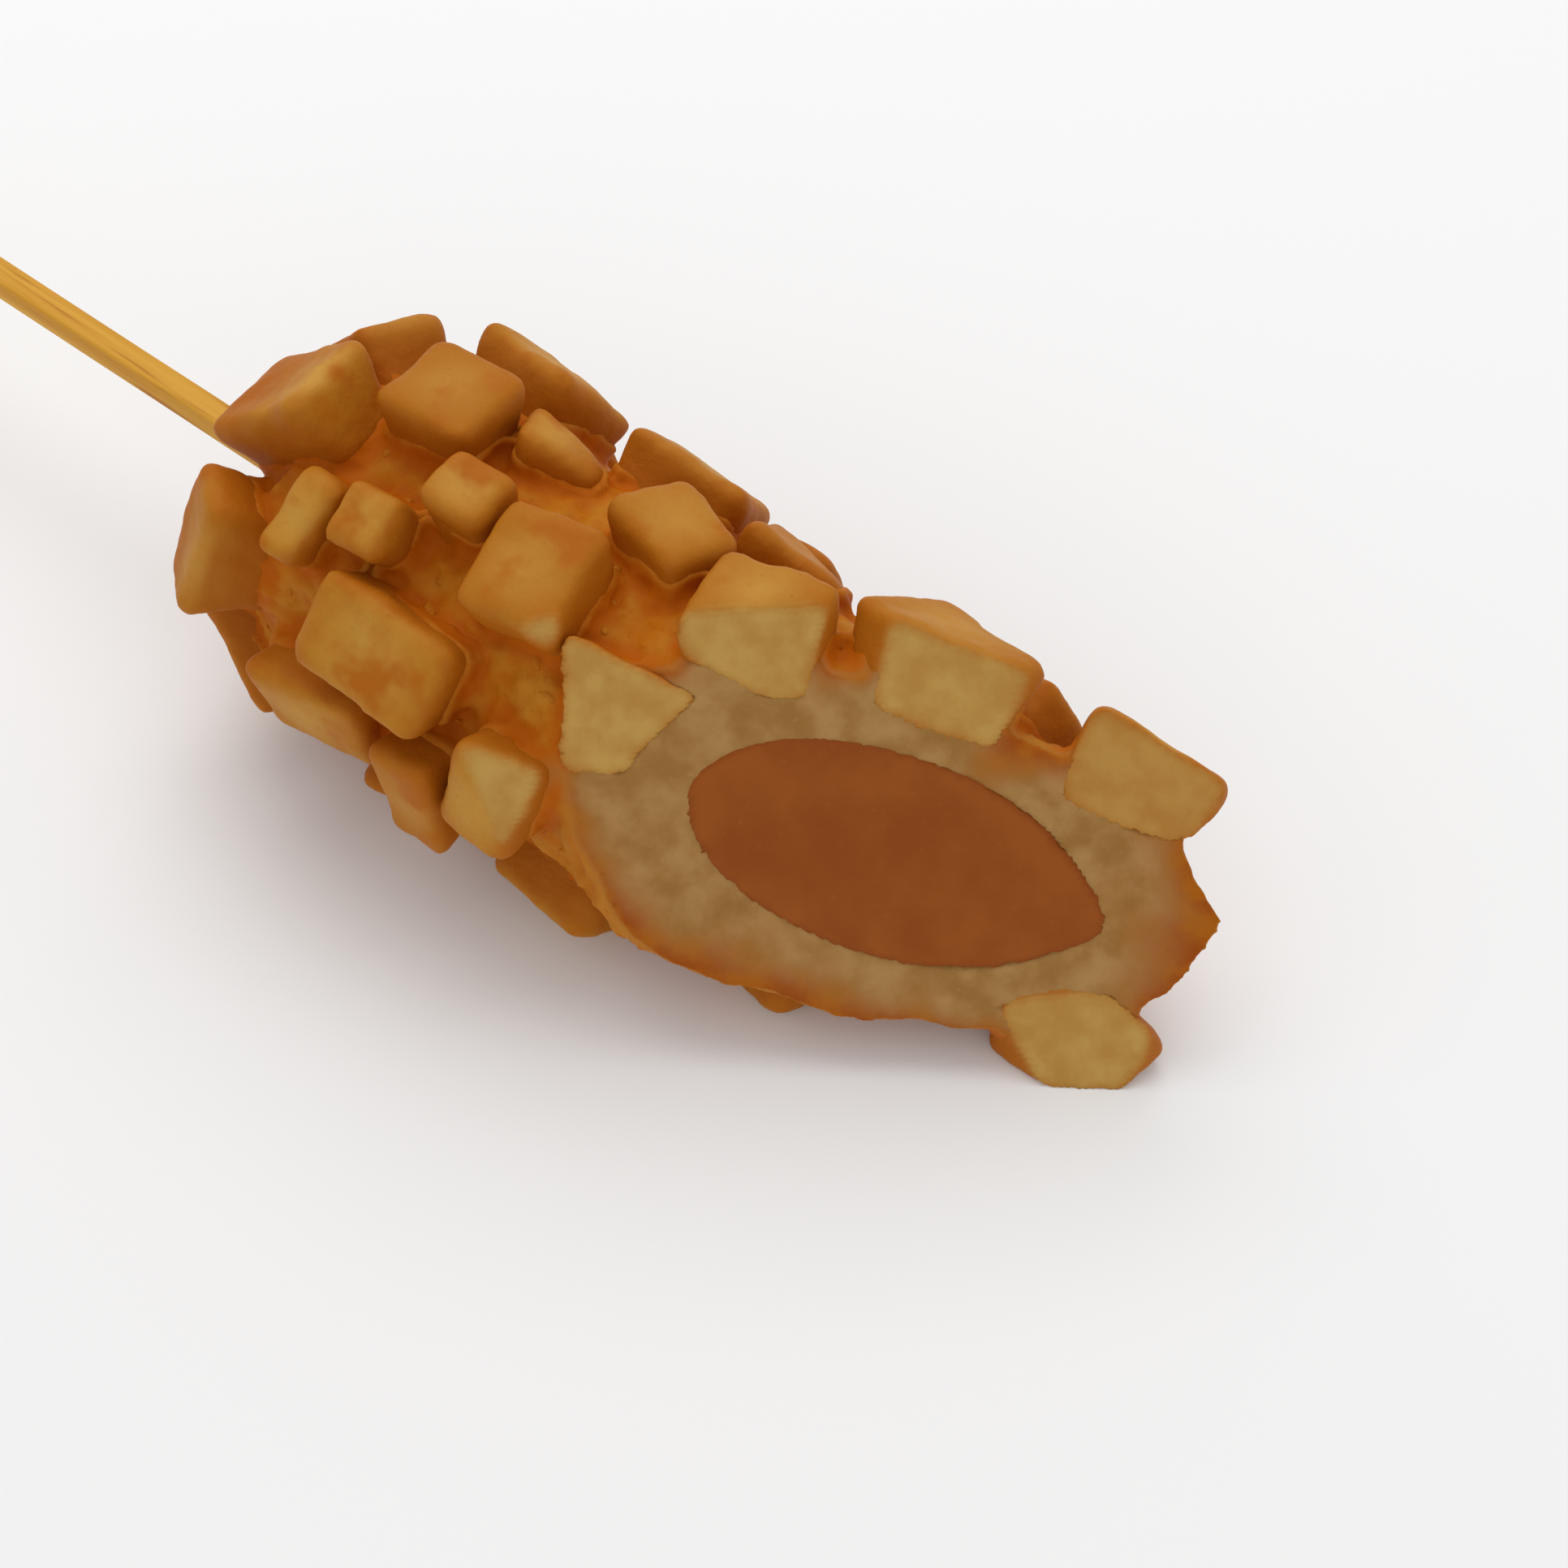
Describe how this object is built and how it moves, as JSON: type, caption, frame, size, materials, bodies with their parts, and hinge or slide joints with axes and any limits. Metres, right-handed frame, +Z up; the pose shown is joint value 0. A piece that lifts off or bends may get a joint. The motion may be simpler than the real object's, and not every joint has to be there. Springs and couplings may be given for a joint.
{
  "type": "corn dog",
  "caption": "Potato corn dog on a wooden stick, cut on the slant: a sausage in fried yeast dough covered with browned potato dice",
  "frame": {"origin": "on the surface that the food lies on, in the middle of the flat underside of potato_21, straight under the stick's line", "axes": "+X along the stick towards the slanted cut, -Y towards the side that shows the cut, +Z up"},
  "size_m": [0.2008, 0.0498, 0.0481],
  "materials": {
    "pale_wood": "plain square-cut wooden stick, unpainted",
    "sausage_meat": "fine-grained cooked sausage, slightly moist",
    "fried_dough": "deep-fried yeast dough, brown crust and pale crumb",
    "fried_potato": "fried potato dice, golden with browned edges"
  },
  "bodies": {
    "root": {"stick": "pale_wood", "sausage": "sausage_meat", "dough": "fried_dough", "potato_01": "fried_potato", "potato_02": "fried_potato", "potato_03": "fried_potato", "potato_04": "fried_potato", "potato_05": "fried_potato", "potato_06": "fried_potato", "potato_07": "fried_potato", "potato_08": "fried_potato", "potato_09": "fried_potato", "potato_10": "fried_potato", "potato_11": "fried_potato", "potato_12": "fried_potato", "potato_13": "fried_potato", "potato_14": "fried_potato", "potato_15": "fried_potato", "potato_16": "fried_potato", "potato_17": "fried_potato", "potato_18": "fried_potato", "potato_19": "fried_potato", "potato_20": "fried_potato", "potato_21": "fried_potato", "potato_22": "fried_potato", "potato_23": "fried_potato", "potato_24": "fried_potato", "potato_25": "fried_potato", "potato_26": "fried_potato", "potato_27": "fried_potato", "potato_28": "fried_potato", "potato_29": "fried_potato", "potato_30": "fried_potato", "potato_31": "fried_potato", "potato_32": "fried_potato", "potato_33": "fried_potato", "potato_34": "fried_potato", "potato_35": "fried_potato", "potato_36": "fried_potato", "potato_37": "fried_potato", "potato_38": "fried_potato", "potato_39": "fried_potato", "potato_40": "fried_potato", "potato_41": "fried_potato", "potato_42": "fried_potato", "potato_43": "fried_potato"}
  },
  "joints": []
}
